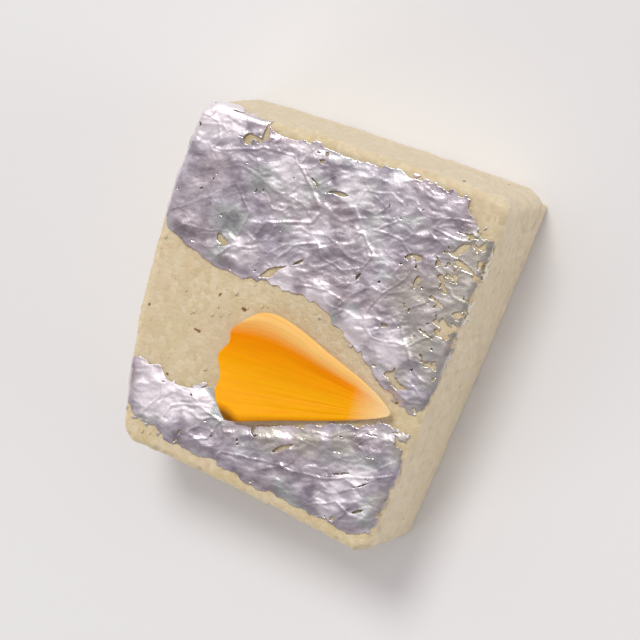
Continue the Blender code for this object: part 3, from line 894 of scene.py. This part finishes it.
# %% [markdown]
# ## Colours of the petal
#
# The petal is golden yellow where it lies flat, a deeper orange along the crease, and pale towards the
# claw, where there is little pigment. The rolled rim is painted pale, a painted highlight. Its left edge
# is painted a browner orange, painted shade, and the corner there is dark brown. Fine veins run along
# it. A petal glows when light falls on its other side, so the shader scatters light under the surface.
# The colours follow the petal's own UV map, so they bend with it.

# %% Make the petal
PETAL_GOLD = (0.97, 0.41, 0.001)
PETAL_ORANGE = (1.00, 0.30, 0.000)
# Painted highlight on the rolled rim.
PETAL_RIM_HIGHLIGHT = (0.93, 0.54, 0.17)
PETAL_CLAW = (0.86, 0.66, 0.36)
PETAL_VEIN = (0.85, 0.24, 0.004)
# Painted shade along the left edge.
PETAL_EDGE_SHADE = (0.66, 0.25, 0.006)
# Dark brown at the petal's left end corner.
PETAL_DARK_CORNER = (0.20, 0.075, 0.002)
DARK_CORNER_PLACE = (0.98, 1.0, 0.0)


def petal_finish():
    """Gold to the left with a browner edge, painted shade, and one dark brown corner, orange along the
    crease, a pale rim to the right that is a painted highlight, and a pale claw."""
    finish, shader = new_finish(
        "petal_orange", Roughness=0.5, Specular_IOR_Level=0.08, Subsurface_Weight=0.25,
        Subsurface_Scale=0.6 * MM, Subsurface_Radius=(1.0, 0.30, 0.03))
    place = add_node(finish, "ShaderNodeUVMap", {"uv_map": "petal"}).outputs["UV"]
    split = add_node(finish, "ShaderNodeSeparateXYZ", Vector=place)
    share, side = split.outputs["X"], split.outputs["Y"]
    fine = add_node(finish, "ShaderNodeMapping", Vector=place, Scale=(0.35, 7.0, 1.0)).outputs["Vector"]
    veins = ramp(finish, noise_texture(finish, 0.25, detail=4, vector=fine), 0.45, 0.75)
    colour = blend(finish, ramp(finish, side, 0.24, 0.60), PETAL_ORANGE, PETAL_GOLD)
    # The rolled rim is painted pale: a painted highlight.
    colour = blend(finish, ramp(finish, side, 0.23, 0.09), colour, PETAL_RIM_HIGHLIGHT)
    colour = blend(finish, veins, colour, blend(finish, 0.45, colour, PETAL_VEIN))
    # The left edge is painted a browner orange: painted shade.
    colour = blend(finish, ramp(finish, side, 0.945, 1.0), colour, PETAL_EDGE_SHADE)
    colour = blend(finish, ramp(finish, share, 0.22, -0.02), colour, PETAL_CLAW)
    # Dark brown at the left end corner, fading out from it.
    corner = add_node(finish, "ShaderNodeVectorMath", {"operation": "DISTANCE"}, Vector=place)
    corner.inputs[1].default_value = DARK_CORNER_PLACE
    dark_corner = ramp(finish, corner.outputs["Value"], 0.13, 0.05)
    colour = blend(finish, dark_corner, colour, PETAL_DARK_CORNER)
    bump = add_node(finish, "ShaderNodeBump", Height=veins, Strength=0.2, Distance=0.03 * MM)
    feed(finish, shader, Base_Color=colour, Normal=bump.outputs["Normal"])
    return finish


def petal_plan(share, side):
    """Where the petal's places are on the plan of the block: turned, and moved to its foot."""
    flat = petal_surface(share, side).reshape(-1, 3)
    c, s = math.cos(PETAL_TURN), math.sin(PETAL_TURN)
    return PETAL_FOOT + flat[:, :2] @ np.array(((c, s), (-s, c)))


def edge_numbers(steps):
    """Share and side once round the petal's edge: out along one side, across the end, and back."""
    run = np.arange(steps) / steps
    share = np.concatenate([run, np.ones(steps), 1 - run])
    side = np.concatenate([-np.ones(steps), 2 * run - 1, np.ones(steps)])
    return share, side


def make_petal(finish):
    """The petal over the block's top as it is without crumbled spots, with its UV map and its wall."""
    share, side = np.meshgrid(np.linspace(0, 1, PETAL_ROWS), np.linspace(-1, 1, PETAL_COLUMNS),
                              indexing="ij")
    flat = petal_surface(share, side).reshape(-1, 3)
    plan = petal_plan(share, side)
    ground, _ = block_surface(np.column_stack([plain_place(plan), np.full(len(plan), THICKNESS)]),
                              scoops=NO_SCOOPS)
    points = np.column_stack([plan, ground[:, 2] + PETAL_GAP + flat[:, 2]])
    faces = grid_quads(np.arange(len(points)).reshape(share.shape))
    petal = make_piece("orange_petal", points, faces, finish)
    layer = petal.data.uv_layers.new(name="petal")
    uv = np.column_stack([share.ravel(), side.ravel() / 2 + 0.5])
    layer.data.foreach_set("uv", uv[faces.ravel()].astype(np.float32).ravel())
    wall = petal.modifiers.new("Wall", "SOLIDIFY")
    wall.thickness = PETAL_WALL
    wall.offset = 1
    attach(petal, "root")
    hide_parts("marigold_petal")
    print("petal: %d faces before its wall" % len(faces))


make_petal(petal_finish())

# %% [markdown]
# ## Crumbs
#
# A knife leaves crumbs, and some stay on the cut edges and on the bare top. A particle system could
# scatter copies of one crumb, but its result is hard to keep off the petal and the leaf. Here the places
# are drawn at random, those on the leaf or under the petal are dropped, and all crumbs are one mesh.
# Each is a small box lattice pushed out to a ball and roughened by the noise, partly sunk in the paste.

# %% Crumbs
CRUMB_TRIES = 150
CRUMB_RADII = (0.10 * MM, 0.30 * MM)
CRUMB_RISE = 0.35


def bare_places(plan):
    """Which places on the top are clear of both pieces of leaf and of the petal."""
    petal_edge = petal_plan(*edge_numbers(24))
    clear = distance_inside(plan, petal_edge) < -0.4 * MM
    for outline in (MAIN_LEAF, CORNER_LEAF):
        clear &= distance_inside(plan, closed_curve(outline)) < -0.6 * MM
    return clear


def make_crumbs(finish):
    """Rough balls on the bare places, most of them small."""
    draw = np.random.default_rng(41)
    plain = draw.uniform(-1, 1, (CRUMB_TRIES, 2)) * HALF_SIDES
    plain = plain[bare_places(bent_plan(plain, THICKNESS))]
    centre, facing = block_surface(np.column_stack([plain, np.full(len(plain), THICKNESS)]))
    radius = CRUMB_RADII[0] + (CRUMB_RADII[1] - CRUMB_RADII[0]) * draw.random((len(plain), 1)) ** 3
    ball, faces = box_lattice(np.ones(3), 2 / 3)
    ball = ball - (0, 0, 1)
    ball /= np.linalg.norm(ball, axis=1, keepdims=True)
    rough = 1 + 0.45 * noise(ball + 7.0 * np.arange(len(plain))[:, None, None], 0.9, seed=42)
    stretch = draw.uniform(0.7, 1.2, (len(plain), 1, 3))
    centre = centre + facing * radius * CRUMB_RISE
    points = centre[:, None] + radius[:, None] * ball * rough[..., None] * stretch
    faces = faces + np.arange(len(plain))[:, None, None] * len(ball)
    crumbs = make_piece("loose_crumbs", points.reshape(-1, 3), faces.reshape(-1, 4), finish)
    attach(crumbs, "root")
    print("crumbs:", len(plain))


make_crumbs(paste)

# %% [markdown]
# ## Floor, light and camera
#
# The sweet stands on a plain pale floor. The light is a large soft lamp beyond the block's right side and
# a room that is bright on that side and dim on the other. Silver shows both: a fold that tips towards
# the lamp turns white, one that tips away turns grey. Two low fills light the cut sides that the lamp
# doesn't reach. They leave no glint on the silver, because that would wash out its greys.

# %% Floor
FLOOR_REACH = 1.5
FLOOR_TONE = (0.80, 0.79, 0.78, 1)


def make_floor():
    """One square far wider than the picture."""
    finish, _ = new_finish("pale_floor", Roughness=0.8, Base_Color=FLOOR_TONE)
    corners = np.array(((-1, -1, 0), (1, -1, 0), (1, 1, 0), (-1, 1, 0))) * FLOOR_REACH
    floor = make_piece("floor", corners, np.array(((0, 1, 2, 3),)), finish)


make_floor()

# %% Light
LAMP_DISTANCE = 1.2


def direction(azimuth, elevation):
    """The way from the block towards something seen at that azimuth and elevation, in degrees."""
    a, e = math.radians(azimuth), math.radians(elevation)
    return Vector((math.sin(a) * math.cos(e), -math.cos(a) * math.cos(e), math.sin(e)))


def aim(data, azimuth, elevation, distance, target=(0, 0, 0), roll=0):
    """A new object that looks at the target from that side, turned by the roll."""
    holder = bpy.data.objects.new(data.name, data)
    back = direction(azimuth, elevation)
    holder.location = Vector(target) + back * distance
    holder.rotation_mode = "QUATERNION"
    turn = Quaternion((0, 0, 1), math.radians(roll))
    holder.rotation_quaternion = back.to_track_quat("Z", "Y") @ turn
    bpy.context.scene.collection.objects.link(holder)
    return holder


def add_lamp(name, azimuth, elevation, size, power, mirrored=True):
    """A round soft lamp that faces the block. One that isn't mirrored leaves no glint on the silver."""
    lamp = bpy.data.lights.new(name, "AREA")
    lamp.shape = "DISK"
    lamp.size = size
    lamp.energy = power
    aim(lamp, azimuth, elevation, LAMP_DISTANCE).visible_glossy = mirrored


ROOM_BRIGHT_WAY = (0.91, 0.32, 0.27)
ROOM_TONES = (
    (0.08, (0.60, 0.57, 0.59)), (0.22, (0.25, 0.23, 0.24)), (0.40, (0.33, 0.31, 0.33)),
    (0.57, (0.47, 0.44, 0.47)), (0.73, (0.76, 0.73, 0.75)), (0.90, (0.98, 0.96, 0.97)),
    (1.00, (0.50, 0.48, 0.50)),
)
ROOM_STRENGTH = 0.9


def set_room():
    """A room that is bright on the lamp's side and dim on the other. A direction's share of the bright
    way, from -1 to 1, picks the tone. Both ends are greyer, so that the silver is neither black nor
    blank white from other sides."""
    world = bpy.data.worlds.new("room")
    bpy.context.scene.world = world
    world.use_nodes = True
    way = add_node(world, "ShaderNodeTexCoord").outputs["Generated"]
    along = add_node(world, "ShaderNodeVectorMath", {"operation": "DOT_PRODUCT"}, Vector=way)
    along.inputs[1].default_value = ROOM_BRIGHT_WAY
    tones = add_node(world, "ShaderNodeValToRGB", Fac=ramp(world, along.outputs["Value"], -1, 1))
    stops = tones.color_ramp.elements
    for number, (position, tone) in enumerate(ROOM_TONES):
        stop = stops[number] if number < 2 else stops.new(position)
        stop.position = position
        stop.color = (*tone, 1)
    background = world.node_tree.nodes["Background"]
    feed(world, background, Color=tones.outputs["Color"], Strength=ROOM_STRENGTH)


set_room()
add_lamp("window", azimuth=109, elevation=55, size=0.42, power=6.6)
add_lamp("front_fill", azimuth=12, elevation=12, size=0.8, power=3.9, mirrored=False)
add_lamp("back_fill", azimuth=232, elevation=9, size=0.8, power=6.8, mirrored=False)
print("lamps:", len(bpy.data.lights))

# %% Camera
CAMERA_AZIMUTH = 38.5
CAMERA_ELEVATION = 69.2
CAMERA_ROLL = -108.8
CAMERA_DISTANCE = 0.375
CAMERA_LENS = 200
CAMERA_TARGET = (0, 0, THICKNESS / 2)

camera = bpy.data.cameras.new("camera")
camera.lens = CAMERA_LENS
bpy.context.scene.camera = aim(
    camera, CAMERA_AZIMUTH, CAMERA_ELEVATION, CAMERA_DISTANCE, CAMERA_TARGET, CAMERA_ROLL)
bpy.context.scene.view_settings.view_transform = "Standard"
print("camera: %.0f mm away" % (CAMERA_DISTANCE / MM))
